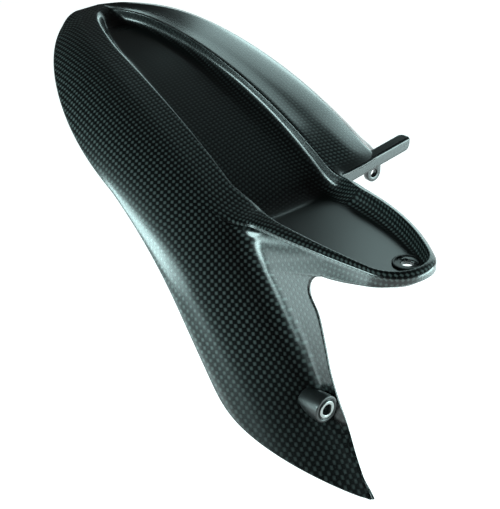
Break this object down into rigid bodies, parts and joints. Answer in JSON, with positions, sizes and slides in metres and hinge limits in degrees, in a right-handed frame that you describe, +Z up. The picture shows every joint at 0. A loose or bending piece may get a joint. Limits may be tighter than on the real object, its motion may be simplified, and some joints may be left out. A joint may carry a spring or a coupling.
{
  "type": "motorcycle rear mudguard",
  "caption": "Carbon-fibre motorcycle rear mudguard that hugs the tyre: domed arch with a spoon recess, flat mounting tongue, long side skirt, side tab and lower bush.",
  "frame": {"origin": "middle of the front mount hole, on the upper face of the tongue tray's floor", "axes": "+X forward along the tongue, +Y to the left of the machine, +Z up along the front mount hole"},
  "size_m": [0.3715, 0.2215, 0.2177],
  "materials": {
    "carbon_laminate": "satin clear-coated plain-weave carbon",
    "black_rubber": "matt",
    "black_plastic": "smooth semi-gloss",
    "bush_metal": "turned"
  },
  "bodies": {
    "root": {"mudguard_shell": "carbon_laminate", "front_mount_grommet": "black_rubber", "lower_mount_boss": "black_plastic", "lower_mount_bush": "bush_metal"}
  },
  "joints": []
}
